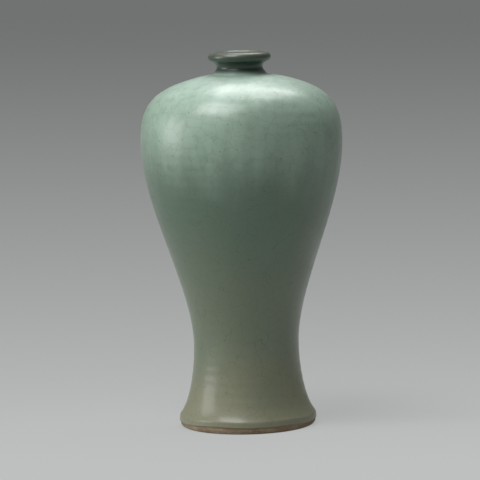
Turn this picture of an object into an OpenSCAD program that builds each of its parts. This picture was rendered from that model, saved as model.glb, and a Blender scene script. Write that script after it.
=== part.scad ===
// Meiping vase: a high-shouldered stoneware bottle, thrown in four sections that are
// luted together with slip, then glazed outside, inside and under the foot.
// Millimetres, +Z up, origin on the ground at the centre of the foot ring.

/* [Foot] */
// Radius of the foot at its widest
foot_r = 62; // [58:0.5:68]
// Radius of the turned edge between the foot and the ground
foot_round = 5; // [3:0.5:7]
// Height of the upright band round the foot, above the turned edge
foot_band_h = 5; // [3:0.5:9]
// Radius of the edge between the band and the flare above it
foot_brow_round = 3; // [1.5:0.5:5]
// Lean of the flare at that edge, in degrees from upright
foot_lean = 39; // [20:1:50]
// Inner radius of the resting ring
ring_in_r = 46; // [40:0.5:50]
// Bevel at the inner edge of the resting ring
ring_bevel = 1; // [0.5:0.1:2]
// Depth of the recess inside the resting ring
recess_depth = 7; // [5:0.5:10]
// Radius of the corner at the top of the recess
recess_round = 3; // [1.5:0.5:4]
// Thickness of the floor in the middle
floor_t = 9; // [6:0.5:14]
// Radius of the flat part of the floor inside
floor_flat_r = 20; // [12:0.5:26]

/* [Outline] */
// Height from the foot band to the waist
stem_h = 65; // [55:1:80]
// Radius of the waist
waist_r = 47.5; // [45:0.5:54]
// Height from the waist joint to the belly joint
body_h = 186; // [160:1:220]
// Radius of the belly, the widest part
belly_r = 91.5; // [84:0.5:104]
// Height from the belly joint to the root of the neck
shoulder_h = 59.3; // [50:0.1:72]
// Radius of the shoulder where the neck is set on it
root_r = 24.5; // [24:0.5:27]
// Slope of the shoulder at the neck, in degrees
root_slope = 9; // [5:0.5:16]

/* [Fullness of the curves] */
// How long the flare of the foot keeps its lean, as a share of the stem's height
foot_hold = 0.2; // [0.1:0.01:0.3]
// How long the stem stays narrow below the waist, as a share of its height
stem_hold = 0.4; // [0.3:0.01:0.6]
// How long the body stays narrow above the waist, as a share of its height
waist_hold = 0.29; // [0.2:0.01:0.4]
// How long the body stays wide below the belly, as a share of its height
belly_hold = 0.32; // [0.2:0.01:0.4]
// How long the shoulder stays upright above the belly, as a share of its height
shoulder_hold = 0.61; // [0.45:0.01:0.7]
// How far the shoulder stays level out from the neck, as a share of its width
crown_hold = 0.8; // [0.6:0.01:0.85]

/* [Neck and lip] */
// Height of the neck piece, from its joint to the top of the lip
neck_h = 20.3; // [17:0.1:26]
// Radius of the neck at its narrowest
neck_r = 20; // [18.5:0.5:21.5]
// Height of the hollow curve at the root of the neck
cove_h = 6; // [4:0.5:7]
// Lean of that curve where it leaves the joint, in degrees from upright
cove_lean = 40; // [30:1:50]
// Radius of the lip
lip_r = 28; // [26:0.5:33]
// Radius of the rounded outer edge of the lip
lip_round = 3.6; // [2.5:0.1:4]
// How far the rounded edge turns under the lip, in degrees below level
lip_under = 75; // [60:1:80]
// Fall of the lip's top face to its outer edge, in degrees
lip_fall = 8; // [3:0.5:14]
// Radius of the clay throat
throat_r = 14.5; // [12:0.5:16]
// Radius of the rounded edge between the throat and the lip
mouth_round = 3; // [2:0.5:3.5]

/* [Walls and joints] */
// Wall at the waist
waist_wall = 7.5; // [5:0.5:9]
// Wall at the belly
belly_wall = 6; // [4:0.5:8]
// Wall at the top of the shoulder
crown_wall = 5.5; // [4:0.5:7]
// Thickness of the slip in each joint
slip_t = 1; // [0.6:0.1:1.5]
// Height of the ridge pressed up inside along each body joint
ridge_h = 1.6; // [0.6:0.1:2.5]
// Distance from a joint at which its ridge has died away
ridge_w = 14; // [8:1:20]

/* [Glaze] */
// Thickness of the glaze outside
glaze_t = 0.6; // [0.4:0.05:0.9]
// Thickness of the glaze inside and over the mouth
inner_glaze_t = 0.4; // [0.3:0.05:0.6]
// Thickness of the glaze under the foot
foot_glaze_t = 0.5; // [0.3:0.05:0.8]
// Extra thickness where the glaze pools at the root of the neck
pool_t = 0.6; // [0:0.05:0.8]
// Height over which the pooled glaze thins out
pool_w = 9; // [6:0.5:14]
// Extra thickness of the rolled edge where the glaze stops above the foot
roll_t = 0.3; // [0:0.05:0.5]
// Height over which the rolled edge thins out
roll_w = 3; // [2:0.5:5]
// Height of the rounded start of that edge
roll_round = 0.9; // [0.3:0.1:1.2]
// Bare clay left between the turned edge of the foot and the glaze
bare_h = 1.5; // [0.5:0.5:2.5]
// Bare clay left between the ring's bevel and the glaze under the foot
wipe_h = 1.5; // [0.5:0.5:1.5]

/* [Hidden] */
$fn = 96;
curve_steps = 30;
arc_steps = 8;

// Colours: biscuit clay, wet-joined slip, and the grey-green glaze
clay_colour = [0.62, 0.57, 0.49];
slip_colour = [0.70, 0.65, 0.57];
glaze_colour = [0.49, 0.57, 0.50];

// Share of its depth with which the rolled edge starts
roll_start = 0.25;

// Heights, from the ground up
band_z = foot_round + foot_band_h;
floor_z = recess_depth + floor_t;
waist_z = band_z + stem_h;
body_z = waist_z + slip_t;
belly_z = body_z + body_h;
shoulder_z = belly_z + slip_t;
root_z = shoulder_z + shoulder_h;
neck_z = root_z + slip_t;
top_z = neck_z + neck_h;

// Radii inside, before the ridges
waist_in_r = waist_r - waist_wall;
belly_in_r = belly_r - belly_wall;

// The slip under the neck leans in as far as it is thick, which sets the neck's own foot
neck_foot_r = root_r - slip_t;

// Height of the glaze's lower edge, and of its rounded start, which the foot's band limits
glaze_z = foot_round + bare_h;
roll_round_h = min(roll_round, foot_band_h - bare_h);

// Centre of the lip's rounded edge, placed so that its top runs straight into the mouth's edge
lip_c_r = lip_r - lip_round;
mouth_c_r = throat_r + mouth_round;
mouth_c_z = top_z - mouth_round;
top_normal = 90 - lip_fall;
lip_c_z = mouth_c_z - (lip_round - mouth_round + cos(top_normal) * (lip_c_r - mouth_c_r)) / sin(top_normal);

function mix(a, b, share) = a + (b - a) * share;

// Directions in the half plane: straight up, and turned up by an angle from straight out
up = [0, 1];
function heading(angle) = [cos(angle), sin(angle)];
function left_of(direction) = [-direction[1], direction[0]];

function flipped(list) = [for (i = [len(list) - 1:-1:0]) list[i]];
function part_of(list, first, last) = [for (i = [first:last]) list[i]];

// Smooth hump: 1 at u = 0, dying away to 0 at u = 1 and beyond
function hump(u) = abs(u) < 1 ? (1 + cos(180 * u)) / 2 : 0;

// Curve from p to q that leaves p along direction a and reaches q along direction b,
// with hold_p and hold_q the distances over which it keeps those directions
function bend(p, a, hold_p, q, b, hold_q) =
    let (p1 = p + hold_p * a, q1 = q - hold_q * b)
    [for (i = [0:curve_steps]) let (t = i / curve_steps, s = 1 - t)
        s * s * s * p + 3 * s * s * t * p1 + 3 * s * t * t * q1 + t * t * t * q];

function arc(centre, r, from_angle, to_angle) =
    [for (i = [0:arc_steps]) centre + r * heading(mix(from_angle, to_angle, i / arc_steps))];

// A path without its repeated points
function joined(path) = [for (i = [0:len(path) - 1])
    if (i == 0 || norm(path[i] - path[i - 1]) > 0.001) path[i]];

// Left-hand normal of the stretch from a to b
function normal_of(a, b) = left_of((b - a) / norm(b - a));

// Path moved sideways to its right by depth[i] at point i, with mitred corners
function moved(path, depth) = [for (i = [0:len(path) - 1]) let (
        before = normal_of(path[max(i - 1, 0)], path[max(i, 1)]),
        after = normal_of(path[min(i, len(path) - 2)], path[min(i + 1, len(path) - 1)])
    ) path[i] - depth[i] * (before + after) / (1 + before * after)];

function even(path, depth) = [for (p = path) depth];

// Height of the ridges inside the body joints at height z
function ridge_at(z) = ridge_h * (hump((z - waist_z - slip_t / 2) / ridge_w)
    + hump((z - belly_z - slip_t / 2) / ridge_w));
function with_ridges(path) = [for (p = path) [p[0] - ridge_at(p[1]), p[1]]];

// Inside of a wall that goes from thickness t0 to t1 along its outer curve, which starts upright
// and ends along the given direction
function inside_of(path, t0, t1, end) =
    let (last = len(path) - 1, inside = moved(path, [for (i = [0:last]) -mix(t0, t1, i / last)]))
    concat([path[0] + t0 * left_of(up)], part_of(inside, 1, last - 1), [path[last] + t1 * left_of(end)]);

// Outer curves, from the foot up
crown_end = heading(180 - root_slope);
foot_brow = arc([foot_r - foot_brow_round, band_z], foot_brow_round, 0, foot_lean);
stem_curve = bend(foot_brow[arc_steps], heading(90 + foot_lean), foot_hold * stem_h,
    [waist_r, waist_z], up, stem_hold * stem_h);
body_curve = bend([waist_r, body_z], up, waist_hold * body_h, [belly_r, belly_z], up, belly_hold * body_h);
shoulder_curve = bend([belly_r, shoulder_z], up, shoulder_hold * shoulder_h,
    [root_r, root_z], crown_end, crown_hold * (belly_r - root_r));
cove_curve = bend([neck_foot_r, neck_z], heading(90 + cove_lean), cove_h / 3,
    [neck_r, neck_z + cove_h], up, cove_h / 3);
lip_edge = arc([lip_c_r, lip_c_z], lip_round, -lip_under, top_normal);
flare_h = lip_edge[0][1] - neck_z - cove_h;
flare_curve = bend([neck_r, neck_z + cove_h], up, flare_h / 2,
    lip_edge[0], heading(90 - lip_under), (lip_edge[0][0] - neck_r) / 2);
mouth_top = arc([mouth_c_r, mouth_c_z], mouth_round, top_normal, 90);
mouth_side = arc([mouth_c_r, mouth_c_z], mouth_round, 90, 180);

// Inner curves, from the floor up
bowl_curve = with_ridges(bend([floor_flat_r, floor_z], heading(0), 0.7 * waist_in_r,
    [waist_in_r, waist_z], up, 0.55 * (waist_z - floor_z)));
body_inside = with_ridges(inside_of(body_curve, waist_wall, belly_wall, up));
shoulder_inside = with_ridges(inside_of(shoulder_curve, belly_wall, crown_wall, crown_end));
crown_in = shoulder_inside[curve_steps];
throat_turn = bend(crown_in, crown_end, (crown_in[0] - throat_r) / 2,
    [throat_r, root_z - crown_wall / 3], up, crown_wall / 3);
joint_in_r = [waist_in_r - ridge_at(waist_z), belly_in_r - ridge_at(belly_z)];

// The whole glazed surface: up the outside, over the lip, down the throat to the floor
roll_path = [for (i = [0:arc_steps]) [foot_r, glaze_z + roll_round_h * (1 - cos(90 * i / arc_steps))]];
outside_path = joined(concat(roll_path, foot_brow, stem_curve, body_curve,
    shoulder_curve, cove_curve, flare_curve, lip_edge, mouth_top));
inside_path = joined(concat(mouth_side, flipped(throat_turn), flipped(shoulder_inside),
    flipped(body_inside), flipped(bowl_curve), [[0, floor_z]]));
glazed_path = joined(concat(outside_path, inside_path));
lip_index = len(outside_path) - 1;
floor_index = len(glazed_path) - 1;

// Outer glaze: a rolled edge at the foot, a pool at the neck, and thinner up to the mouth
function rounded_start(u) = u < 1 ? mix(roll_start, 1, sqrt(1 - (1 - u) * (1 - u))) : 1;
function outer_depth(z) = rounded_start((z - glaze_z) / roll_round_h)
    * (mix(glaze_t, inner_glaze_t, max(0, (z - root_z) / (top_z - root_z)))
        + roll_t * hump((z - glaze_z) / roll_w) + pool_t * hump((z - neck_z) / pool_w));
glaze_surface = moved(glazed_path, [for (i = [0:floor_index])
    i < lip_index ? outer_depth(glazed_path[i][1]) : inner_glaze_t]);

// Underside of the foot, from the axis out to the ground
recess_path = concat([[0, recess_depth]],
    arc([ring_in_r - recess_round, recess_depth - recess_round], recess_round, 90, 0));
ring_path = [[ring_in_r, ring_bevel], [ring_in_r + ring_bevel, 0]];
foot_edge = arc([foot_r - foot_round, foot_round], foot_round, -90, 0);

module turned(profile) { rotate_extrude() polygon(profile); }

// A coat that lies on stretch first..last of a path, between it and its moved copy
module coat(path, surface, first, last) {
    turned(concat(part_of(path, first, last), flipped(part_of(surface, first, last))));
}

// A flat ring of slip between two heights, with the given inner and outer radii below and above
module slip_ring(in_r, out_low, out_high, z) {
    color(slip_colour) turned([[in_r, z], [out_low, z], [out_high, z + slip_t], [in_r, z + slip_t]]);
}

// Flared foot with its turned resting ring, recess, floor and bowl
module foot_section() {
    color(clay_colour) turned(joined(concat(recess_path, ring_path, foot_edge, foot_brow, stem_curve,
        flipped(bowl_curve), [[0, floor_z]])));
}

// Wall from the waist to the belly
module lower_body() {
    color(clay_colour) turned(concat(body_curve, flipped(body_inside)));
}

// Dome from the belly to the root of the neck, pierced by the throat
module shoulder() {
    color(clay_colour) turned(joined(concat(shoulder_curve, [[throat_r, root_z]],
        flipped(throat_turn), flipped(shoulder_inside))));
}

// Short neck with its hollow curve, flare, rolled lip and straight throat
module neck() {
    color(clay_colour) turned(joined(concat([[throat_r, neck_z]], cove_curve, flare_curve, lip_edge,
        mouth_top, mouth_side)));
}

module waist_joint_slip() { slip_ring(joint_in_r[0], waist_r, waist_r, waist_z); }

module belly_joint_slip() { slip_ring(joint_in_r[1], belly_r, belly_r, belly_z); }

module neck_joint_slip() { slip_ring(throat_r, root_r, neck_foot_r, root_z); }

// Glaze outside, from its rolled edge above the foot to the top of the mouth
module outer_glaze() {
    color(glaze_colour) coat(glazed_path, glaze_surface, 0, lip_index);
}

// Glaze inside, from the top of the mouth down the throat and over the floor
module inner_glaze() {
    color(glaze_colour) coat(glazed_path, glaze_surface, lip_index, floor_index);
}

// Glaze in the recess under the foot, wiped off short of the resting ring
module foot_glaze() {
    path = joined(concat(recess_path, [[ring_in_r, ring_bevel + wipe_h]]));
    color(glaze_colour) coat(path, moved(path, even(path, foot_glaze_t)), 0, len(path) - 1);
}

foot_section();
lower_body();
shoulder();
neck();
waist_joint_slip();
belly_joint_slip();
neck_joint_slip();
outer_glaze();
inner_glaze();
foot_glaze();
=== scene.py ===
"""Meiping vase: the looks of a celadon bottle vase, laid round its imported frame.

The coats of glaze and the clay foot are turned again, finely, from the half sections of the frame's
own nodes. They get a potter's throwing marks, a wandering glaze line, kiln sand and procedural glazes.
"""
import math

import bmesh
import bpy
from bpy.props import FloatProperty, FloatVectorProperty, IntProperty, PointerProperty
from mathutils import Matrix, Vector


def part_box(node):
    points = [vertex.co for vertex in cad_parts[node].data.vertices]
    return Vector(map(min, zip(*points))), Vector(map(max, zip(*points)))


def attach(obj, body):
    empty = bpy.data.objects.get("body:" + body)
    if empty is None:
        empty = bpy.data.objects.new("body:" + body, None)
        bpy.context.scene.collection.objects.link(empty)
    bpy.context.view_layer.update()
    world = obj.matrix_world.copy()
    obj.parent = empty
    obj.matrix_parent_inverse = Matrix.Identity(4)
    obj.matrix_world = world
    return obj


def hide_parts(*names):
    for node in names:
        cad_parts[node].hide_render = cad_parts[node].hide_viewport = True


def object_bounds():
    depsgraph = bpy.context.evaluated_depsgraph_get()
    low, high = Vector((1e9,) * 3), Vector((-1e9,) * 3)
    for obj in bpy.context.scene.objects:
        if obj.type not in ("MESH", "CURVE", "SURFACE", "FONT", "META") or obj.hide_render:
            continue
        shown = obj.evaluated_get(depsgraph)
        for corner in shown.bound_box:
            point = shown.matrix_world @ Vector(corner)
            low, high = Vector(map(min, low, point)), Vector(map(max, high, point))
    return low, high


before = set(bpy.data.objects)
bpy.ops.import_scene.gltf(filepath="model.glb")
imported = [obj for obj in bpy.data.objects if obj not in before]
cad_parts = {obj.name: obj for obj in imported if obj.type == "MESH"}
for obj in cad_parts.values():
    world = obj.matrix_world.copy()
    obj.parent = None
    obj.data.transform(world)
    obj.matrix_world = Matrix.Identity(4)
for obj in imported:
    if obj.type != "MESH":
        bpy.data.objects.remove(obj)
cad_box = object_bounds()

bl_info = {
    "name": "Meiping vase",
    "version": (1, 0, 0),
    "blender": (4, 5, 0),
    "location": "3D View > Sidebar > Vase",
    "description": "Turns and glazes a celadon meiping vase round its frame",
    "category": "Object",
}

BODY = "root"

# Heights that the finish depends on, read from the frame
TOP_Z = cad_box[1].z
NECK_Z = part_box("neck")[0].z
BELLY_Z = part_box("belly_joint_slip")[0].z
WAIST_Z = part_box("waist_joint_slip")[0].z
GLAZE_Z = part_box("outer_glaze")[0].z

# Vertices of the frame this close in the half plane belong to one turned ring
RING_GAP = 3e-6
# Heights and radii of an outline's points are compared to this many digits of a metre
DIGITS = 6
# A turn in the outline sharper than this stays a corner
CORNER = math.radians(40)
# A side of the outline this many times longer than its neighbour is a straight run
STRAIGHT = 4


def screen_colour(red, green, blue):
    """A colour as a screen shows it, 0 to 255 a channel, in the linear values that materials take."""
    def linear(level):
        share = level / 255
        return share / 12.92 if share <= 0.04045 else ((share + 0.055) / 1.055) ** 2.4
    return tuple(linear(level) for level in (red, green, blue))


# Half sections of the frame's turned nodes


def ring_of_each_vertex(mesh):
    """The mesh's turned rings as (r, z) points, and the number of the ring that each vertex is on."""
    rings, cells, ring_of = [], {}, []
    for vertex in mesh.vertices:
        point = Vector((math.hypot(vertex.co.x, vertex.co.y), vertex.co.z))
        column, row = round(point.x / RING_GAP), round(point.y / RING_GAP)
        near = [cells[column + i, row + j] for i in (-1, 0, 1) for j in (-1, 0, 1)
                if (column + i, row + j) in cells]
        if not near:
            cells[column, row] = len(rings)
            near = [len(rings)]
            rings.append(point)
        ring_of.append(near[0])
    return rings, ring_of


def half_section(node):
    """The outline of a turned node in its half plane: (r, z) points, anticlockwise, axis included."""
    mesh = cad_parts[node].data
    rings, ring_of = ring_of_each_vertex(mesh)
    links = {}
    for face in mesh.polygons:
        found = {ring_of[i] for i in face.vertices}
        for ring in found:
            links.setdefault(ring, set()).update(found - {ring})
    ends = [ring for ring, joined in links.items() if len(joined) == 1]
    walk = [ends[0] if ends else min(links)]
    while True:
        ahead = [ring for ring in sorted(links[walk[-1]]) if ring not in walk[-2:]]
        if not ahead or ahead[0] == walk[0]:
            break
        walk.append(ahead[0])
    outline = [rings[ring] for ring in walk]
    if ends:
        outline = [Vector((0, outline[0].y)), *outline, Vector((0, outline[-1].y))]
    area = sum(a.x * b.y - b.x * a.y for a, b in zip(outline, outline[1:] + outline[:1]))
    return outline if area > 0 else outline[::-1]


def run(outline, first, last):
    """The stretch of a closed outline from point first on to point last."""
    count = (last - first) % len(outline) + 1
    return [outline[(first + i) % len(outline)] for i in range(count)]


def lowest(outline):
    """The number of the lowest point, and of those the outermost."""
    return min(range(len(outline)), key=lambda i: (round(outline[i].y, DIGITS), -outline[i].x))


def highest(outline):
    """The number of the highest point, and of those the outermost."""
    return max(range(len(outline)), key=lambda i: (round(outline[i].y, DIGITS), outline[i].x))


def innermost(outline):
    """The number of the point nearest the axis, and of those the lowest."""
    return min(range(len(outline)), key=lambda i: (round(outline[i].x, DIGITS), outline[i].y))


def on_axis(outline, i):
    return outline[i % len(outline)].x == 0


def turn_at(before, point, after):
    return abs((point - before).angle_signed(after - point, 0))


def slope_at(before, point, after):
    """Direction of a smooth curve at a point: of a straight run beside it, or else of both sides."""
    sides = sorted((point - before, after - point), key=lambda side: side.length)
    straight = sides[1].length > STRAIGHT * sides[0].length
    return (sides[1] if straight else after - before).normalized()


def on_curve(a, b, leave, reach, t):
    """The point at share t of a curve from a to b that leaves along leave and arrives along reach."""
    length = (b - a).length
    return (a * (1 + 2 * t) * (1 - t) ** 2 + b * t * t * (3 - 2 * t)
            + length * (leave * t * (1 - t) ** 2 - reach * t * t * (1 - t)))


def refined(points, step):
    """Points at most step apart on a smooth curve through the given ones, with its corners kept."""
    last = len(points) - 1
    slopes, corners = [], []
    for i, point in enumerate(points):
        before, after = points[max(i - 1, 0)], points[min(i + 1, last)]
        slopes.append(slope_at(before, point, after))
        corners.append(turn_at(before, point, after) > CORNER)
    fine = []
    for i in range(last):
        a, b = points[i], points[i + 1]
        along = (b - a).normalized()
        leave = along if corners[i] else slopes[i]
        reach = along if corners[i + 1] else slopes[i + 1]
        pieces = max(1, math.ceil((b - a).length / step))
        fine += [on_curve(a, b, leave, reach, k / pieces) for k in range(pieces)]
    return fine + [points[last]]


def thinned(points, slack):
    """The fewest of the points whose straight joins stay within slack of the rest."""
    if len(points) < 3:
        return list(points)
    first, last = points[0], points[-1]
    along = (last - first).normalized()
    off = [abs((p - first).x * along.y - (p - first).y * along.x) for p in points]
    far = max(range(len(points)), key=lambda i: off[i])
    if off[far] < slack:
        return [first, last]
    return thinned(points[:far + 1], slack)[:-1] + thinned(points[far:], slack)


# Node building


class Bench:
    """Puts nodes into one tree and joins them up."""

    def __init__(self, tree):
        self.tree = tree

    def add(self, kind, sockets=None, **settings):
        node = self.tree.nodes.new(kind)
        for name, value in settings.items():
            setattr(node, name, value)
        for key, value in (sockets or {}).items():
            self.feed(node.inputs[key], value)
        return node

    def feed(self, socket, value):
        if isinstance(value, bpy.types.NodeSocket):
            self.tree.links.new(value, socket)
        else:
            socket.default_value = value

    def math(self, operation, *values):
        return self.add("ShaderNodeMath", dict(enumerate(values)), operation=operation).outputs[0]

    def times(self, product, *factors):
        for factor in factors:
            product = self.math("MULTIPLY", product, factor)
        return product

    def plus(self, one, other):
        return self.math("ADD", one, other)

    def plus_times(self, base, factor, value):
        """base + factor x value."""
        return self.math("MULTIPLY_ADD", value, factor, base)

    def moved(self, vector, way):
        return self.add("ShaderNodeVectorMath", {0: vector, 1: way}, operation="ADD").outputs["Vector"]

    def scaled(self, vector, factor):
        node = self.add("ShaderNodeVectorMath", {0: vector, "Scale": factor}, operation="SCALE")
        return node.outputs["Vector"]

    def parts(self, vector):
        return self.add("ShaderNodeSeparateXYZ", {0: vector}).outputs

    def joined(self, x, y, z):
        return self.add("ShaderNodeCombineXYZ", {0: x, 1: y, 2: z}).outputs[0]

    def from_axis(self, x, y):
        """Distance from the vase's axis."""
        flat = self.joined(x, y, 0.0)
        return self.add("ShaderNodeVectorMath", {0: flat}, operation="LENGTH").outputs["Value"]

    def ease(self, value, low, high, to_low=0.0, to_high=1.0):
        """Runs smoothly from to_low to to_high while value goes from low to high."""
        sockets = {"Value": value, "From Min": low, "From Max": high,
                   "To Min": to_low, "To Max": to_high}
        return self.add("ShaderNodeMapRange", sockets, interpolation_type="SMOOTHSTEP").outputs[0]

    def noise(self, vector, scale, detail=2.0, seed=0.0):
        sockets = {"Vector": vector, "W": seed, "Scale": scale, "Detail": detail}
        return self.add("ShaderNodeTexNoise", sockets, noise_dimensions="4D").outputs[0]


class Finish(Bench):
    """One procedural material, with its shader and the coordinates of the piece itself."""

    def __init__(self, name, **constants):
        material = bpy.data.materials.new(name)
        material.use_nodes = True
        super().__init__(material.node_tree)
        self.material = material
        self.tree.nodes.clear()
        self.shader = self.add("ShaderNodeBsdfPrincipled", constants)
        self.output = self.add("ShaderNodeOutputMaterial", {"Surface": self.shader.outputs[0]})
        self.place = self.add("ShaderNodeTexCoord").outputs["Object"]
        self.x, self.y, self.z = self.parts(self.place)
        self.r = self.from_axis(self.x, self.y)

    def blend(self, share, under, over, strength=1.0):
        """Colour under where share is 0, and over, at the given strength, where it is 1."""
        def full(colour):
            return colour if isinstance(colour, bpy.types.NodeSocket) else (*colour, 1.0)
        if strength < 1.0:
            share = self.times(share, strength)
        node = self.add("ShaderNodeMix", {0: share, 6: full(under), 7: full(over)}, data_type="RGBA")
        return node.outputs[2]

    def cells(self, scale, feature="F1", vector=None, output="Distance"):
        sockets = {"Vector": vector or self.place, "Scale": scale}
        return self.add("ShaderNodeTexVoronoi", sockets, feature=feature).outputs[output]

    def colour_by(self, tone):
        self.feed(self.shader.inputs["Base Color"], tone)

    def roughen_by(self, roughness):
        self.feed(self.shader.inputs["Roughness"], roughness)

    def raise_by(self, *layers):
        """Bumps laid on each other, each given as (height 0 to 1, depth in metres)."""
        normal = None
        for height, depth in layers:
            sockets = {"Height": height, "Distance": depth}
            if normal:
                sockets["Normal"] = normal
            normal = self.add("ShaderNodeBump", sockets).outputs[0]
        self.feed(self.shader.inputs["Normal"], normal)


def new_tree(name, geometry_in, settings, geometry_out):
    """A bench on a new geometry tree, whose inputs are a geometry and the named settings."""
    tree = bpy.data.node_groups.new(name, "GeometryNodeTree")
    face = tree.interface
    face.new_socket(geometry_in, in_out="INPUT", socket_type="NodeSocketGeometry")
    for setting, kind in settings.items():
        face.new_socket(setting, in_out="INPUT", socket_type="NodeSocket" + kind)
    face.new_socket(geometry_out, in_out="OUTPUT", socket_type="NodeSocketGeometry")
    return Bench(tree)


def end_tree(bench, geometry, finish):
    """Makes instances real, gives all faces their finish and passes the geometry out."""
    real = bench.add("GeometryNodeRealizeInstances", {"Geometry": geometry}).outputs[0]
    finished = bench.add("GeometryNodeSetMaterial", {"Geometry": real, "Material": finish}).outputs[0]
    bench.add("NodeGroupOutput", {0: finished})
    return bench.tree


def set_inputs(modifier, values):
    """Sets a modifier's named inputs by their sockets' identifiers."""
    face = modifier.node_group.interface
    sockets = {item.name: item.identifier for item in face.items_tree if item.in_out == "INPUT"}
    for name, value in values.items():
        modifier[sockets[name]] = value


# The wheel: a tree that turns a half section into a closed shell

# Marks stored on the points of a half section, with the kind of value and its field in the mesh
MARKS = {
    "outward": ("FLOAT_VECTOR", "vector"),
    "shown": ("FLOAT", "value"),
    "glaze_line": ("FLOAT", "value"),
}
# The throwing marks fade in over this many points from each end of the shown stretch
FADE = 4
# The throwing marks grow to their full height between these heights, so that the ring rests flat
MARKS_START = (0.0002, 0.003)
# Points of a turned shell this close are merged, at its seam and on the axis
SEAM_GAP = 1e-6
# Noise in the throwing marks, in features to a metre
DRIFT_SCALE = 9.0
PATCH_SCALE = 17.0
SWELL_SCALE = 24.0
# Turns of the spiral by which the drift shifts the rings
DRIFT_TURNS = 1.4
# The glaze line's long and short waves, in features to a radius, and how high the short ones are
LONG_WAVES = 1.3
SHORT_WAVES = 6.0
SHORT_SHARE = 0.35
# Power by which the wander dies away above the glaze line
WANDER_FALL = 1.5


def throwing_marks(bench, given, place, height, angle):
    """How far the surface stands out: a spiral of faint rings in patches, and a slow swell."""
    drift = bench.noise(place, DRIFT_SCALE, seed=given["Seed"])
    risen = bench.math("DIVIDE", height, given["Ring pitch"])
    spiral = bench.plus(risen, bench.math("DIVIDE", angle, math.tau))
    phase = bench.times(bench.plus(spiral, bench.times(drift, DRIFT_TURNS)), math.tau)
    ring = bench.plus_times(0.5, 0.5, bench.math("SINE", phase))
    patches = bench.ease(bench.noise(place, PATCH_SCALE, seed=given["Seed"]), 0.35, 0.7)
    rings = bench.times(ring, patches, given["Ring depth"])
    swell = bench.noise(place, SWELL_SCALE, detail=1.0, seed=given["Seed"])
    return bench.plus(rings, bench.times(swell, given["Unevenness"]))


def wander_of_line(bench, given, rim, share):
    """How far the glaze line has wandered up or down at a place round the rim."""
    long = bench.noise(rim, LONG_WAVES, detail=1.0, seed=given["Seed"])
    short = bench.noise(rim, SHORT_WAVES, detail=1.0, seed=given["Seed"])
    wave = bench.math("SUBTRACT", bench.plus_times(long, SHORT_SHARE, short), (1 + SHORT_SHARE) / 2)
    return bench.times(wave, share, given["Line wander"])


def wheel_tree():
    """Turns the half section in the XZ plane round Z, with its marks and a wandering glaze line."""
    settings = {"Steps round": "Int", "Rows": "Int", "Ring pitch": "Float", "Ring depth": "Float",
                "Unevenness": "Float", "Line wander": "Float", "Seed": "Float", "Finish": "Material"}
    bench = new_tree("potters_wheel", "Half section", settings, "Turned")
    given = bench.add("NodeGroupInput").outputs
    section = given["Half section"]
    points = bench.add("GeometryNodeAttributeDomainSize", {0: section}).outputs["Point Count"]
    across = {"Size X": 1.0, "Vertices X": bench.plus(given["Steps round"], 1.0)}
    along = {"Size Y": 1.0, "Vertices Y": given["Rows"]}
    sheet = bench.add("GeometryNodeMeshGrid", {**across, **along}).outputs["Mesh"]
    place = bench.add("GeometryNodeInputPosition").outputs[0]
    sheet_x, sheet_y, _ = bench.parts(place)
    angle = bench.times(bench.plus(sheet_x, 0.5), math.tau)
    row = bench.times(bench.plus(sheet_y, 0.5), bench.math("SUBTRACT", given["Rows"], 1.0))
    index = bench.math("MODULO", bench.math("ROUND", row), points)

    def at_row(value, kind):
        sockets = {"Geometry": section, "Value": value, "Index": index}
        return bench.add("GeometryNodeSampleIndex", sockets, data_type=kind).outputs[0]

    def mark(name):
        kind = MARKS[name][0]
        stored = bench.add("GeometryNodeInputNamedAttribute", {"Name": name}, data_type=kind).outputs[0]
        return at_row(stored, kind)

    cosine, sine = bench.math("COSINE", angle), bench.math("SINE", angle)

    def swung(r, z):
        return bench.joined(bench.times(r, cosine), bench.times(r, sine), z)

    radius, _, height = bench.parts(at_row(place, "FLOAT_VECTOR"))
    out_r, _, out_z = bench.parts(mark("outward"))
    off_ground = bench.ease(height, *MARKS_START)
    marks = throwing_marks(bench, given, swung(radius, height), height, angle)
    lift = bench.times(marks, bench.times(mark("shown"), off_ground))
    wander = wander_of_line(bench, given, bench.joined(cosine, sine, 0.0), mark("glaze_line"))
    new_r = bench.plus_times(radius, lift, out_r)
    new_z = bench.plus(bench.plus_times(height, lift, out_z), wander)

    shell = {"Geometry": sheet, "Position": swung(new_r, new_z)}
    turned = bench.add("GeometryNodeSetPosition", shell).outputs[0]
    seams = {"Geometry": turned, "Distance": SEAM_GAP}
    closed = bench.add("GeometryNodeMergeByDistance", seams).outputs[0]
    smooth = bench.add("GeometryNodeSetShadeSmooth", {"Geometry": closed}).outputs[0]
    return end_tree(bench, smooth, given["Finish"])


def outward_sides(outline):
    """The direction outwards at each point, all in one list of x, y and z."""
    sides = []
    for i in range(len(outline)):
        step = outline[(i + 1) % len(outline)] - outline[i - 1]
        side = Vector((step.y, -step.x)).normalized()
        sides += [side.x, 0, side.y]
    return sides


def shown_share(i, count):
    """1 inside the shown stretch, fading to 0 at its ends, and 0 past its count of points."""
    return max(0, min(1, i / FADE, (count - 1 - i) / FADE))


def wander_share(z, line_top):
    """1 on the glaze line and 0 from line_top up, or 0 all over where line_top isn't given."""
    return max(0, (line_top - z) / (line_top - GLAZE_Z)) ** WANDER_FALL if line_top else 0


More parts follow.
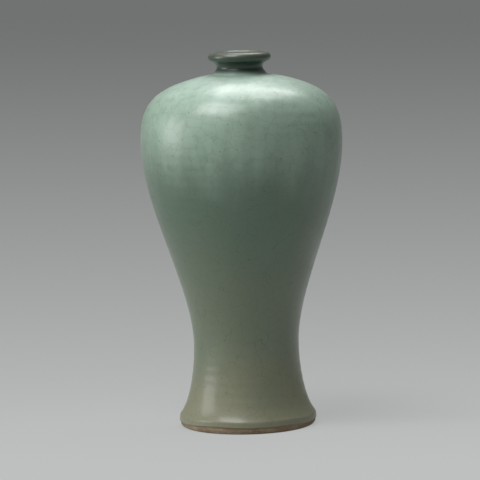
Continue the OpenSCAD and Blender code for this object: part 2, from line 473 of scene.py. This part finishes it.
def drawn_section(name, outline, open_ended, marks):
    """The outline as a string of edges in the XZ plane, with its marks stored on the points."""
    mesh = bpy.data.meshes.new(name)
    loop = len(outline)
    ties = [(i, (i + 1) % loop) for i in range(loop - 1 if open_ended else loop)]
    mesh.from_pydata([(point.x, 0, point.y) for point in outline], ties, [])
    for label, values in marks.items():
        kind, field = MARKS[label]
        mesh.attributes.new(label, kind, "POINT").data.foreach_set(field, values)
    section = bpy.data.objects.new(name + "_section", mesh)
    bpy.context.scene.collection.objects.link(section)
    return section


def made_plain(source, name):
    """A plain mesh object of what source's modifiers make; source is removed."""
    seen = source.evaluated_get(bpy.context.evaluated_depsgraph_get())
    mesh = bpy.data.meshes.new_from_object(seen)
    for left in [attribute.name for attribute in mesh.attributes if attribute.name in MARKS]:
        mesh.attributes.remove(mesh.attributes[left])
    bpy.data.objects.remove(source)
    mesh.name = name
    piece = bpy.data.objects.new(name, mesh)
    bpy.context.scene.collection.objects.link(piece)
    return piece


def turn(name, finish, shown, hidden, open_ended, line_top=0.0):
    """Turns a shell whose outline is a shown stretch and then a hidden one, back to the start.

    line_top is the height at which the wander of the glaze line has died away."""
    shape = bpy.context.scene.vase_shape
    outline = shown + hidden
    marks = {"outward": outward_sides(outline),
             "shown": [shown_share(i, len(shown)) for i in range(len(outline))],
             "glaze_line": [wander_share(point.y, line_top) for point in outline]}
    section = drawn_section(name, outline, open_ended, marks)
    wheel = section.modifiers.new("wheel", "NODES")
    wheel.node_group = bpy.data.node_groups.get("potters_wheel") or wheel_tree()
    rows = len(outline) if open_ended else len(outline) + 1
    set_inputs(wheel, {"Steps round": shape.steps_round, "Rows": rows, "Ring pitch": shape.ring_pitch,
                       "Ring depth": shape.ring_depth, "Unevenness": shape.unevenness,
                       "Line wander": shape.line_wander, "Seed": float(shape.seed), "Finish": finish})
    return made_plain(section, name)


def settle(piece, slot, *nodes):
    """The piece rides on the vase and stands for the named nodes, which are hidden; slot is not used."""
    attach(piece, BODY)
    if nodes:
        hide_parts(*nodes)


# Kiln sand: a tree that strews grains over the bare clay

# Noise that gathers the grains in patches, in features to a metre
SAND_PATCH_SCALE = 60.0
# Radii of the smallest and the largest grain along its own axes, for one of size 1
SMALLEST_GRAIN = (0.35, 0.35, 0.3)
LARGEST_GRAIN = (1.0, 0.9, 0.8)


def sand_tree():
    """Strews grains over the bare clay between two heights, each half sunk and turned its own way."""
    settings = {"Density": "Float", "Grain size": "Float", "Lowest": "Float", "Highest": "Float",
                "Innermost": "Float", "Seed": "Int", "Finish": "Material"}
    bench = new_tree("kiln_sand_strewn", "Clay", settings, "Grains")
    given = bench.add("NodeGroupInput").outputs
    place = bench.add("GeometryNodeInputPosition").outputs[0]
    x, y, z = bench.parts(place)
    above = bench.math("GREATER_THAN", z, given["Lowest"])
    below = bench.math("LESS_THAN", z, given["Highest"])
    outside = bench.math("GREATER_THAN", bench.from_axis(x, y), given["Innermost"])
    patches = bench.ease(bench.noise(place, SAND_PATCH_SCALE), 0.4, 0.65)
    spread = {"Mesh": given["Clay"], "Seed": given["Seed"],
              "Density": bench.times(above, below, outside, patches, given["Density"])}
    points = bench.add("GeometryNodeDistributePointsOnFaces", spread).outputs["Points"]

    def drawn_between(least, most):
        sockets = {0: least, 1: most, "Seed": given["Seed"]}
        return bench.add("FunctionNodeRandomValue", sockets, data_type="FLOAT_VECTOR").outputs[0]

    grain = bench.add("GeometryNodeMeshIcoSphere", {"Radius": 1.0, "Subdivisions": 1}).outputs["Mesh"]
    size = drawn_between(bench.scaled(SMALLEST_GRAIN, given["Grain size"]),
                         bench.scaled(LARGEST_GRAIN, given["Grain size"]))
    lean = drawn_between((0, 0, 0), (math.tau,) * 3)
    grains = {"Points": points, "Instance": grain, "Scale": size, "Rotation": lean}
    strewn = bench.add("GeometryNodeInstanceOnPoints", grains).outputs[0]
    return end_tree(bench, strewn, given["Finish"])


# Finishes

# How fine the patterns are, in features to a metre
CLOUDS = 11.0
STREAKS = 8.0
FINE_CLOUDS = 130.0
LOW_CLOUDS = 30.0
LIP_PATCHES = 75.0
DULL_PATCHES = 33.0
CRACKLE = 95.0
CRACKLE_BENDS = 70.0
SPECKS = 260.0
SWELLS = 60.0
PINHOLES = 900.0
INNER_CLOUDS = 40.0
INNER_PITS = 420.0
INNER_SWELLS = 90.0
CLAY_MOTTLE = 70.0
CLAY_GRIT = 900.0
CLAY_TOOTH = 1500.0
TURNING_LINES = 1400.0
SAND_TINTS = 600.0
SAND_TOOTH = 3000.0

# How deep the bumps go, in metres
SWELL_DEPTH = 0.0003
PINHOLE_DEPTH = 0.00002
CRACKLE_DEPTH = 0.00004
PIT_DEPTH = 0.0001
LINE_DEPTH = 0.0001
TOOTH_DEPTH = 0.00008
GRIT_DEPTH = 0.00006
SAND_DEPTH = 0.00005

# Streaks in the glaze are this many times longer than wide
STREAK_LENGTH = 7.0
# How far the patterns shift the edges of the pale glaze with its painted light, the olive glaze and the
# burnt clay, in metres
PALE_AND_LIT_SHIFT = 0.05
OLIVE_SHIFT = 0.045
BURNT_SHIFT = 0.006
# How far the crackle strays from straight lines, in metres, and how wide its lines are, to a cell
CRACKLE_STRAY = 0.006
CRACKLE_WIDTH = 0.03

# Lower and upper heights of the bands in which the glaze changes
# Paler above this band: thin glaze, and painted light from above on the shoulder
PALE_AND_LIT_BAND = (BELLY_Z - 0.01, BELLY_Z + 0.075)
# Painted sheen round the root of the neck, laid over the pale glaze
CREST_SHEEN_BAND = (NECK_Z + 0.02, NECK_Z + 0.045)
OLIVE_BAND = (WAIST_Z - 0.02, WAIST_Z + 0.09)
FOOT_BAND = (GLAZE_Z - 0.04, GLAZE_Z + 0.04)
# The neck darkens from here up: pooled glaze and painted shade under the lip
POOL_AND_SHADE_BAND = (NECK_Z - 0.003, NECK_Z + 0.005)
LIP_BAND = (TOP_Z - 0.006, TOP_Z - 0.002)
MOUTH_BAND = (TOP_Z - 0.004, TOP_Z)
BURNT_BAND = (0.002, GLAZE_Z + 0.003)
# Radii between which the glaze on the lip goes from whole to thin
LIP_RADII = (0.02, 0.0275)

# Share of the clay's and the slip's grains that are pale grit
CLAY_GRIT_SHARE = 0.12
SLIP_GRIT_SHARE = 0.04


def body_tone(f, tones, clouds):
    """Pale on the shoulder, partly thin glaze and partly painted light from above, with a painted sheen
    round the root of the neck; from there it ran down in streaks, with greyer clouds all over.
    """
    stretched = f.joined(f.times(f.x, STREAK_LENGTH), f.times(f.y, STREAK_LENGTH), f.z)
    streaks = f.noise(stretched, STREAKS, detail=3.0, seed=5.0)
    fine = f.noise(f.place, FINE_CLOUDS, detail=4.0, seed=8.0)
    ragged = f.plus_times(f.z, PALE_AND_LIT_SHIFT, f.plus(clouds, streaks))
    tone = f.blend(f.ease(ragged, *PALE_AND_LIT_BAND), tones.glaze, tones.pale_glaze_and_top_light)
    # Painted sheen: the palest tone round the root of the neck
    tone = f.blend(f.ease(ragged, *CREST_SHEEN_BAND, to_high=0.7), tone, tones.painted_crest_sheen)
    tone = f.blend(f.ease(clouds, 0.4, 0.7, to_high=0.35), tone, tones.glaze_grey)
    return f.blend(f.ease(fine, 0.42, 0.75, to_high=0.22), tone, tones.glaze_grey)


def low_tone(f, tones, clouds, tone):
    """Olive from the waist down, and browner on the foot."""
    ragged = f.noise(f.place, LOW_CLOUDS, detail=4.0, seed=14.0)
    low = f.plus_times(f.z, -OLIVE_SHIFT, f.plus(clouds, ragged))
    tone = f.blend(f.ease(low, *OLIVE_BAND, to_low=0.85, to_high=0.0), tone, tones.glaze_olive)
    return f.blend(f.ease(low, *FOOT_BAND, to_low=0.9, to_high=0.0), tone, tones.glaze_foot)


def neck_tone(f, tones, tone):
    """Dark in the hollow of the neck and up under the lip, from pooled glaze and painted shade; thin and
    browner along the lip's edge.
    """
    # Painted shade under the lip, over the pooled glaze
    tone = f.blend(f.ease(f.z, *POOL_AND_SHADE_BAND), tone, tones.pool_and_painted_shade, strength=0.95)
    patches = f.ease(f.noise(f.place, LIP_PATCHES, detail=3.0, seed=23.0), 0.3, 0.6, to_low=0.45)
    edge = f.ease(f.r, *LIP_RADII, to_low=0.15, to_high=0.8)
    return f.blend(f.times(f.ease(f.z, *LIP_BAND), edge, patches), tone, tones.glaze_thin)


def crackle(f):
    """1 on the fine cracks in the glaze."""
    bends = f.add("ShaderNodeTexNoise", {"Vector": f.place, "Scale": CRACKLE_BENDS}).outputs["Color"]
    bent = f.moved(f.place, f.scaled(bends, CRACKLE_STRAY))
    edge = f.cells(CRACKLE, "DISTANCE_TO_EDGE", vector=bent)
    return f.ease(edge, 0.0, CRACKLE_WIDTH, to_low=1.0, to_high=0.0)


def iron_specks(f):
    """1 on the iron specks, which lie in a few of the finest cells."""
    dot = f.ease(f.cells(SPECKS), 0.08, 0.2, to_low=1.0, to_high=0.0)
    chosen = f.ease(f.parts(f.cells(SPECKS, output="Color"))[0], 0.9, 0.93)
    return f.times(dot, chosen)


def celadon():
    """Satin celadon: pale on the shoulder, where it is thin and where painted light from above falls, with
    a painted sheen by the neck and painted shade under the lip; darker below, olive towards the foot.
    """
    tones = bpy.context.scene.vase_tones
    f = Finish("celadon_glaze", **{"Coat Weight": 0.45, "Coat Roughness": 0.22, "Specular IOR Level": 0.5})
    clouds = f.noise(f.place, CLOUDS, detail=3.0, seed=2.0)
    cracks = crackle(f)
    specks = iron_specks(f)
    tone = neck_tone(f, tones, low_tone(f, tones, clouds, body_tone(f, tones, clouds)))
    tone = f.blend(cracks, tone, tones.speck, strength=0.2)
    f.colour_by(f.blend(specks, tone, tones.speck, strength=0.75))

    dull = f.noise(f.place, DULL_PATCHES, detail=5.0, seed=17.0)
    satin = f.ease(dull, 0.3, 0.7, to_low=0.34, to_high=0.46)
    f.roughen_by(f.plus(satin, f.ease(f.z, GLAZE_Z, WAIST_Z, to_low=0.14, to_high=0.0)))
    swells = f.noise(f.place, SWELLS, seed=20.0)
    pinholes = f.noise(f.place, PINHOLES, seed=21.0)
    unbroken = f.math("SUBTRACT", 1.0, f.math("MAXIMUM", specks, f.times(cracks, 0.4)))
    f.raise_by((swells, SWELL_DEPTH), (pinholes, PINHOLE_DEPTH), (unbroken, CRACKLE_DEPTH))
    return f.material


def inner_celadon():
    """The thinner coat in the throat and under the foot, duller and browner than outside."""
    tones = bpy.context.scene.vase_tones
    f = Finish("inner_celadon_glaze", **{"Coat Weight": 0.2, "Coat Roughness": 0.25})
    clouds = f.ease(f.noise(f.place, INNER_CLOUDS, detail=4.0, seed=3.0), 0.35, 0.7)
    tone = f.blend(clouds, tones.glaze_grey, tones.glaze_foot)
    pits = f.ease(f.cells(INNER_PITS), 0.06, 0.16, to_low=1.0, to_high=0.0)
    tone = f.blend(pits, tone, tones.speck, strength=0.5)
    f.colour_by(f.blend(f.ease(f.z, *MOUTH_BAND), tone, tones.glaze_thin, strength=0.5))
    f.roughen_by(f.ease(clouds, 0.0, 1.0, to_low=0.34, to_high=0.5))
    swells = f.noise(f.place, INNER_SWELLS, detail=3.0, seed=6.0)
    f.raise_by((swells, SWELL_DEPTH), (f.math("SUBTRACT", 1.0, pits), PIT_DEPTH))
    return f.material


def fired_clay(name, plain_tone, burnt_tone, grit_share):
    """Unglazed fired clay: turning lines, coarse grit, and browned near the glaze line."""
    tones = bpy.context.scene.vase_tones
    f = Finish(name, **{"Specular IOR Level": 0.3})
    mottle = f.noise(f.place, CLAY_MOTTLE, detail=6.0, seed=4.0)
    tone = f.blend(f.ease(mottle, 0.3, 0.7), plain_tone, burnt_tone)
    burnt = f.ease(f.plus_times(f.z, BURNT_SHIFT, mottle), *BURNT_BAND)
    tone = f.blend(burnt, tone, burnt_tone, strength=0.6)
    grit = f.ease(f.parts(f.cells(CLAY_GRIT, output="Color"))[0], 1.0 - grit_share, 1.0)
    f.colour_by(f.blend(grit, tone, tones.sand, strength=0.5))
    f.roughen_by(f.ease(mottle, 0.3, 0.7, to_low=0.75, to_high=0.95))
    lines = f.noise(f.joined(f.r, 0.0, f.z), TURNING_LINES)
    tooth = f.noise(f.place, CLAY_TOOTH, detail=3.0)
    f.raise_by((lines, LINE_DEPTH), (tooth, TOOTH_DEPTH), (grit, GRIT_DEPTH))
    return f.material


def kiln_sand():
    """Grains of quartz sand from the kiln's floor, half fused into the foot."""
    tones = bpy.context.scene.vase_tones
    f = Finish("kiln_sand", **{"Roughness": 0.6})
    f.colour_by(f.blend(f.noise(f.place, SAND_TINTS), tones.sand, tones.clay_burnt))
    f.raise_by((f.noise(f.place, SAND_TOOTH), SAND_DEPTH))
    return f.material


# Sizes and tones


class VaseShape(bpy.types.PropertyGroup):
    """How finely the vase is turned, and the marks that throwing and dipping leave"""
    steps_round: IntProperty(
        name="Steps round", description="Corners in each turned ring", default=212, min=48)
    row_gap: FloatProperty(
        name="Row gap", description="Largest gap between turned rings that show",
        default=0.0017, unit="LENGTH", precision=4)
    hidden_slack: FloatProperty(
        name="Hidden slack", description="How far a hidden side may be from the frame",
        default=0.00003, unit="LENGTH", precision=5)
    ring_pitch: FloatProperty(
        name="Ring pitch", description="Rise of the throwing spiral in one turn",
        default=0.0095, unit="LENGTH", precision=4)
    ring_depth: FloatProperty(
        name="Ring depth", description="Height of the throwing rings under the glaze",
        default=0.00016, unit="LENGTH", precision=5)
    unevenness: FloatProperty(
        name="Unevenness", description="Swell of the glaze over uneven clay",
        default=0.0003, unit="LENGTH", precision=5)
    line_wander: FloatProperty(
        name="Line wander", description="How far the glaze line wanders up and down",
        default=0.006, unit="LENGTH", precision=4)
    line_reach: FloatProperty(
        name="Line reach", description="Height over which the wander dies away",
        default=0.02, unit="LENGTH", precision=3)
    sand_density: FloatProperty(
        name="Sand density", description="Grains on a square metre where they lie thickest",
        default=200000, min=0)
    sand_size: FloatProperty(
        name="Sand size", description="Radius of a coarse grain",
        default=0.00045, unit="LENGTH", precision=5)
    seed: IntProperty(
        name="Seed", description="Picks one set of marks", default=7)


class VaseTones(bpy.types.PropertyGroup):
    """Colours of the glaze and the clay"""
    glaze: FloatVectorProperty(
        name="Glaze", description="The celadon on the body",
        subtype="COLOR", default=screen_colour(91, 116, 96))
    glaze_grey: FloatVectorProperty(
        name="Grey clouds", description="Greyer clouds in the glaze",
        subtype="COLOR", default=screen_colour(97, 112, 97))
    # Partly thin glaze, partly painted light from above on the shoulder's top
    pale_glaze_and_top_light: FloatVectorProperty(
        name="Shoulder", description="The celadon where it is thin on the shoulder",
        subtype="COLOR", default=screen_colour(160, 185, 167))
    painted_crest_sheen: FloatVectorProperty(
        name="Crest", description="The palest glaze, round the root of the neck",
        # Painted sheen: stands in for light glancing off the shoulder's top by the neck
        subtype="COLOR", default=screen_colour(192, 218, 203))
    glaze_olive: FloatVectorProperty(
        name="Olive", description="The glaze from the waist down",
        subtype="COLOR", default=screen_colour(114, 124, 102))
    glaze_foot: FloatVectorProperty(
        name="Foot", description="The glaze low on the foot",
        subtype="COLOR", default=screen_colour(140, 140, 115))
    # Partly thick glaze, partly painted shade under the lip
    pool_and_painted_shade: FloatVectorProperty(
        name="Pool", description="Thick glaze in the neck's hollow",
        subtype="COLOR", default=screen_colour(25, 50, 38))
    glaze_thin: FloatVectorProperty(
        name="Thin lip", description="Where the glaze runs thin over the lip",
        subtype="COLOR", default=screen_colour(104, 104, 86))
    speck: FloatVectorProperty(
        name="Specks", description="Iron specks and the crackle's stain",
        subtype="COLOR", default=screen_colour(62, 58, 46))
    clay: FloatVectorProperty(
        name="Clay", description="The bare fired clay",
        subtype="COLOR", default=screen_colour(180, 166, 143))
    clay_burnt: FloatVectorProperty(
        name="Burnt clay", description="Clay browned beside the glaze",
        subtype="COLOR", default=screen_colour(148, 124, 98))
    slip: FloatVectorProperty(
        name="Slip", description="The slip in the joints",
        subtype="COLOR", default=screen_colour(168, 152, 128))
    sand: FloatVectorProperty(
        name="Sand", description="Kiln sand and grit",
        subtype="COLOR", default=screen_colour(196, 188, 170))


class VaseStudio(bpy.types.PropertyGroup):
    """The studio: camera, lamps and floor"""
    camera_distance: FloatProperty(
        name="Camera distance", description="From the camera to its target",
        default=2.714, unit="LENGTH")
    camera_rise: FloatProperty(
        name="Camera rise", description="Angle of the camera above its target",
        default=math.radians(6), subtype="ANGLE")
    camera_roll: FloatProperty(
        name="Camera roll", description="Clockwise turn of the camera about its view",
        default=math.radians(1.4), subtype="ANGLE")
    target_z: FloatProperty(
        name="Target height", description="Height that the camera looks at",
        default=0.1719, unit="LENGTH")
    lens: FloatProperty(
        name="Lens", description="Focal length in millimetres", default=221.8)
    lamp_distance: FloatProperty(
        name="Lamp distance", description="From the softboxes to the camera's target",
        default=2.0, unit="LENGTH")
    key_turn: FloatProperty(
        name="Key turn", description="The high softbox, turned left from the camera's side",
        default=math.radians(42), subtype="ANGLE")
    key_rise: FloatProperty(
        name="Key rise", description="Angle of the high front softbox above the vase",
        default=math.radians(60), subtype="ANGLE")
    key_size: FloatProperty(
        name="Key size", description="Side of the high softboxes",
        default=1.2, unit="LENGTH")
    key_power: FloatProperty(
        name="Key light", description="Power of the high front softbox in watts", default=28.5)
    back_turn: FloatProperty(
        name="Back turn", description="The high softbox behind, turned as the key",
        default=math.radians(194), subtype="ANGLE")
    back_rise: FloatProperty(
        name="Back rise", description="Angle of the softbox behind above the vase",
        default=math.radians(63), subtype="ANGLE")
    back_power: FloatProperty(
        name="Back light", description="Power of the softbox behind in watts", default=20.0)
    side_turn: FloatProperty(
        name="Side turn", description="The low softbox, turned left from the camera's side",
        default=math.radians(84), subtype="ANGLE")
    side_rise: FloatProperty(
        name="Side rise", description="Angle of the low softbox above the vase",
        default=math.radians(14), subtype="ANGLE")
    side_size: FloatProperty(
        name="Side size", description="Side of the low softbox",
        default=1.0, unit="LENGTH")
    side_power: FloatProperty(
        name="Side light", description="Power of the low softbox in watts", default=12.0)
    fill_level: FloatProperty(
        name="Fill", description="Level of the light from all round", default=0.08)
    shadow_lift: FloatProperty(
        name="Shadow lift", description="Share of the floor beside the vase that no shadow dims",
        default=0.7, min=0, max=1)
    front_lift: FloatProperty(
        name="Front lift", description="The same share for the floor in front of the vase",
        default=0.97, min=0, max=1)
    floor_near: FloatVectorProperty(
        name="Floor", description="The floor beside the vase",
        subtype="COLOR", default=screen_colour(190, 192, 191))
    floor_far: FloatVectorProperty(
        name="Far floor", description="The floor where it falls away",
        subtype="COLOR", default=screen_colour(113, 115, 114))


# The pieces, one operator each


class VASE_OT_turn_foot(bpy.types.Operator):
    """Turn the clay foot with its bare resting ring"""
    bl_idname = "vase.turn_foot"
    bl_label = "Turn the foot"

    def execute(self, context):
        shape, tones = context.scene.vase_shape, context.scene.vase_tones
        outline = half_section("foot_section")
        middle = innermost(outline)
        outline = run(outline, middle, middle - 1)
        top = GLAZE_Z + shape.line_wander
        bare_end = next(i for i, point in enumerate(outline) if point.y > top)
        clay = fired_clay("stoneware", tones.clay, tones.clay_burnt, CLAY_GRIT_SHARE)
        foot = turn("turned_foot", clay, refined(outline[:bare_end + 1], shape.row_gap / 2),
                    thinned(outline[bare_end + 1:], shape.hidden_slack), open_ended=True)
        settle(foot, "stoneware", "foot_section")
        return {"FINISHED"}


class VASE_OT_strew_sand(bpy.types.Operator):
    """Strew kiln sand over the bare clay below the glaze line"""
    bl_idname = "vase.strew_sand"
    bl_label = "Strew kiln sand"

    def execute(self, context):
        shape = context.scene.vase_shape
        foot = bpy.data.objects["turned_foot"]
        source = bpy.data.objects.new("sand_source", foot.data.copy())
        context.scene.collection.objects.link(source)
        strewer = source.modifiers.new("strewer", "NODES")
        strewer.node_group = bpy.data.node_groups.get("kiln_sand_strewn") or sand_tree()
        recess_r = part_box("foot_glaze")[1].x
        set_inputs(strewer, {"Density": shape.sand_density, "Grain size": shape.sand_size,
                             "Lowest": 2 * shape.sand_size, "Highest": GLAZE_Z - shape.sand_size,
                             "Innermost": recess_r + 2 * shape.sand_size, "Seed": shape.seed,
                             "Finish": kiln_sand()})
        settle(made_plain(source, "kiln_sand"), "stoneware")
        return {"FINISHED"}


class VASE_OT_glaze_outside(bpy.types.Operator):
    """Coat the outside with celadon, from its rolled line above the foot to the mouth"""
    bl_idname = "vase.glaze_outside"
    bl_label = "Glaze the outside"

    def execute(self, context):
        shape = context.scene.vase_shape
        outline = half_section("outer_glaze")
        low, high = lowest(outline), highest(outline)
        coat = turn("celadon_coat", celadon(), refined(run(outline, low, high), shape.row_gap),
                    thinned(run(outline, high, low), shape.hidden_slack)[1:-1], open_ended=False,
                    line_top=GLAZE_Z + shape.line_reach)
        settle(coat, "celadon_glaze", "outer_glaze")
        return {"FINISHED"}


class VASE_OT_glaze_inside(bpy.types.Operator):
    """Coat the throat and the inside down to the floor"""
    bl_idname = "vase.glaze_inside"
    bl_label = "Glaze the inside"

    def execute(self, context):
        shape = context.scene.vase_shape
        outline = half_section("inner_glaze")
        high = highest(outline)
        floor = next(i for i in range(len(outline)) if on_axis(outline, i) and on_axis(outline, i + 1))
        coat = turn("lining_glaze", inner_celadon(),
                    refined(run(outline, high, floor), 2 * shape.row_gap),
                    thinned(run(outline, floor + 1, high), shape.hidden_slack)[:-1], open_ended=False)
        settle(coat, "inner_celadon_glaze", "inner_glaze")
        return {"FINISHED"}


class VASE_OT_glaze_recess(bpy.types.Operator):
    """Coat the recess under the foot"""
    bl_idname = "vase.glaze_recess"
    bl_label = "Glaze under the foot"

    def execute(self, context):
        shape = context.scene.vase_shape
        outline = half_section("foot_glaze")
        low = lowest(outline)
        start = next(i for i in range(len(outline)) if on_axis(outline, i) and on_axis(outline, i - 1))
        finish = bpy.data.materials.get("inner_celadon_glaze") or inner_celadon()
        coat = turn("recess_glaze", finish, refined(run(outline, start, low), shape.row_gap),
                    thinned(run(outline, low, start - 1), shape.hidden_slack)[1:], open_ended=True)
        settle(coat, "inner_celadon_glaze", "foot_glaze")
        return {"FINISHED"}


class VASE_OT_finish_clay(bpy.types.Operator):
    """Give the clay walls and the slip in the joints their fired finish"""
    bl_idname = "vase.finish_clay"
    bl_label = "Finish the clay and slip"

    def execute(self, context):
        tones = context.scene.vase_tones
        clay = (bpy.data.materials.get("stoneware")
                or fired_clay("stoneware", tones.clay, tones.clay_burnt, CLAY_GRIT_SHARE))
        slip = fired_clay("joint_slip", tones.slip, tones.clay, SLIP_GRIT_SHARE)
        for name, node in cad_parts.items():
            node.data.materials.clear()
            node.data.materials.append(slip if name.endswith("_slip") else clay)
        return {"FINISHED"}


class VASE_OT_set_stage(bpy.types.Operator):
    """Set the floor, the lamps and the camera"""
    bl_idname = "vase.set_stage"
    bl_label = "Set the stage"

    def execute(self, context):
        studio = context.scene.vase_studio
        lay_floor(studio)
        hang_lamps(studio)
        place_camera(studio)
        context.scene.view_settings.view_transform = "Standard"
        return {"FINISHED"}


# The stage

FLOOR_R = 60.0
FLOOR_SIDES = 96
# The floor starts to darken at a line FALL_START in front of the vase; the two bounds of its fall
# are metres behind that line
FALL_START = 0.479
FALL_NEAR = 0.244
FALL_FAR = 14.2
# Places before the line count as this far behind it
NEAREST = 0.001
# Places along Y between which the floor's front lift gives way to its shadow lift
LIFT_Y = (-0.06, 0.02)
# Radii between which the vase's shadow on the floor dies away
SHADOW_RADII = (0.07, 0.35)

# The picture's side, and where the camera's target falls in it, in pixels from its top left corner
PICTURE_PX = 480
TARGET_PX = (243.80, 238.96)
# The camera sees past the floor's edge
CAMERA_SIGHT = 200.0


def seen_rays(bench):
    """1 for the rays that show the background: to the camera, mirrored or through glass."""
    path = bench.add("ShaderNodeLightPath").outputs
    mirrored = bench.math("MAXIMUM", path["Is Glossy Ray"], path["Is Transmission Ray"])
    return bench.math("MAXIMUM", path["Is Camera Ray"], mirrored)


def floor_finish(studio):
    """Pale beside the vase and grey far behind it, a painted falloff of light, shown as it is but for the
    vase's shadow.
    """
    f = Finish("studio_floor", **{"Roughness": 1.0, "Specular IOR Level": 0.0})
    reach = studio.camera_distance * math.cos(studio.camera_rise)
    eye = studio.target_z + studio.camera_distance * math.sin(studio.camera_rise)

    # How far behind the line a place is, levelled so that the fall follows the rolled picture
    level = f.plus_times(1.0, -math.sin(studio.camera_roll) / eye, f.x)
    ahead = f.math("DIVIDE", f.plus(f.y, reach), level)
    behind = f.math("MAXIMUM", f.math("SUBTRACT", ahead, reach - FALL_START), NEAREST)
    share = f.ease(f.math("LOGARITHM", behind, 10.0), math.log10(FALL_NEAR), math.log10(FALL_FAR))
    # The fall from pale to grey is painted light: it stands in for the lamps' light dying away from the
    # vase
    tone = f.blend(share, studio.floor_near, studio.floor_far)
    f.colour_by(tone)

    glow = f.add("ShaderNodeEmission", {"Color": tone}).outputs[0]
    near = f.ease(f.y, *LIFT_Y, to_low=studio.front_lift, to_high=studio.shadow_lift)
    lift = f.times(f.ease(f.r, *SHADOW_RADII, to_low=near), seen_rays(f))
    lifted = f.add("ShaderNodeMixShader", {0: lift, 1: f.shader.outputs[0], 2: glow}).outputs[0]
    f.feed(f.output.inputs["Surface"], lifted)
    return f.material


def lay_floor(studio):
    """A round floor that reaches far past the vase."""
    mesh = bpy.data.meshes.new("studio_floor")
    shell = bmesh.new()
    bmesh.ops.create_circle(shell, cap_ends=True, segments=FLOOR_SIDES, radius=FLOOR_R)
    shell.to_mesh(mesh)
    shell.free()
    floor = bpy.data.objects.new("studio_floor", mesh)
    bpy.context.scene.collection.objects.link(floor)
    mesh.materials.append(floor_finish(studio))


def hang_softbox(name, bearing, rise, size, power):
    """A square softbox that faces the vase, turned round it from the camera's side towards the left."""
    studio = bpy.context.scene.vase_studio
    lamp = bpy.data.lights.new(name, "AREA")
    lamp.shape = "SQUARE"
    lamp.size = size
    lamp.energy = power
    softbox = bpy.data.objects.new(name, lamp)
    bpy.context.scene.collection.objects.link(softbox)
    left = math.sin(bearing) * math.cos(rise)
    front = math.cos(bearing) * math.cos(rise)
    out = Vector((-left, -front, math.sin(rise)))
    place = Vector((0, 0, studio.target_z)) + studio.lamp_distance * out
    softbox.matrix_world = Matrix.Translation(place) @ out.to_track_quat("Z", "Y").to_matrix().to_4x4()


def hang_lamps(studio):
    """Softboxes high in front on the left, high behind and low on the left, and faint light all round."""
    hang_softbox("key_softbox", studio.key_turn, studio.key_rise, studio.key_size, studio.key_power)
    hang_softbox("back_softbox", studio.back_turn, studio.back_rise, studio.key_size, studio.back_power)
    hang_softbox("side_softbox", studio.side_turn, studio.side_rise, studio.side_size, studio.side_power)

    world = bpy.data.worlds.new("studio_air")
    world.use_nodes = True
    bpy.context.scene.world = world
    bench = Bench(world.node_tree)
    world.node_tree.nodes.clear()
    white = (1, 1, 1, 1)
    light = bench.add("ShaderNodeBackground", {"Color": white, "Strength": studio.fill_level}).outputs[0]
    wall = bench.add("ShaderNodeBackground", {"Color": (*studio.floor_far, 1)}).outputs[0]
    both = bench.add("ShaderNodeMixShader", {0: seen_rays(bench), 1: light, 2: wall}).outputs[0]
    bench.add("ShaderNodeOutputWorld", {"Surface": both})


def place_camera(studio):
    """The camera at the photograph's angle, rolled as it was held."""
    data = bpy.data.cameras.new("camera")
    data.lens = studio.lens
    data.clip_end = CAMERA_SIGHT
    data.shift_x = -(TARGET_PX[0] - PICTURE_PX / 2) / PICTURE_PX
    data.shift_y = (TARGET_PX[1] - PICTURE_PX / 2) / PICTURE_PX
    camera = bpy.data.objects.new("camera", data)
    bpy.context.scene.collection.objects.link(camera)
    rise = studio.camera_rise
    back = Vector((0, -math.cos(rise), math.sin(rise)))
    place = Vector((0, 0, studio.target_z)) + back * studio.camera_distance
    turned = (-back).to_track_quat("-Z", "Y").to_matrix().to_4x4()
    camera.matrix_world = Matrix.Translation(place) @ turned @ Matrix.Rotation(-studio.camera_roll, 4, "Z")
    bpy.context.scene.camera = camera


# The panel, and the run of the steps


class VASE_PT_panel(bpy.types.Panel):
    """The vase's steps and settings"""
    bl_idname = "VASE_PT_panel"
    bl_label = "Meiping vase"
    bl_space_type = "VIEW_3D"
    bl_region_type = "UI"
    bl_category = "Vase"

    def draw(self, context):
        for step in STEPS:
            self.layout.operator(step.bl_idname)
        for group in (context.scene.vase_shape, context.scene.vase_tones, context.scene.vase_studio):
            box = self.layout.box()
            for name in group.__annotations__:
                box.prop(group, name)


STEPS = (VASE_OT_turn_foot, VASE_OT_strew_sand, VASE_OT_glaze_outside, VASE_OT_glaze_inside,
         VASE_OT_glaze_recess, VASE_OT_finish_clay, VASE_OT_set_stage)
GROUPS = {"vase_shape": VaseShape, "vase_tones": VaseTones, "vase_studio": VaseStudio}


def register():
    for cls in (*GROUPS.values(), *STEPS, VASE_PT_panel):
        bpy.utils.register_class(cls)
    for name, group in GROUPS.items():
        setattr(bpy.types.Scene, name, PointerProperty(type=group))


def unregister():
    for name in GROUPS:
        delattr(bpy.types.Scene, name)
    for cls in (VASE_PT_panel, *reversed(STEPS), *reversed(GROUPS.values())):
        bpy.utils.unregister_class(cls)


def main():
    """Makes every piece and the stage."""
    register()
    bpy.ops.vase.turn_foot()
    bpy.ops.vase.strew_sand()
    bpy.ops.vase.glaze_outside()
    bpy.ops.vase.glaze_inside()
    bpy.ops.vase.glaze_recess()
    bpy.ops.vase.finish_clay()
    bpy.ops.vase.set_stage()


if __name__ == "__main__":
    main()
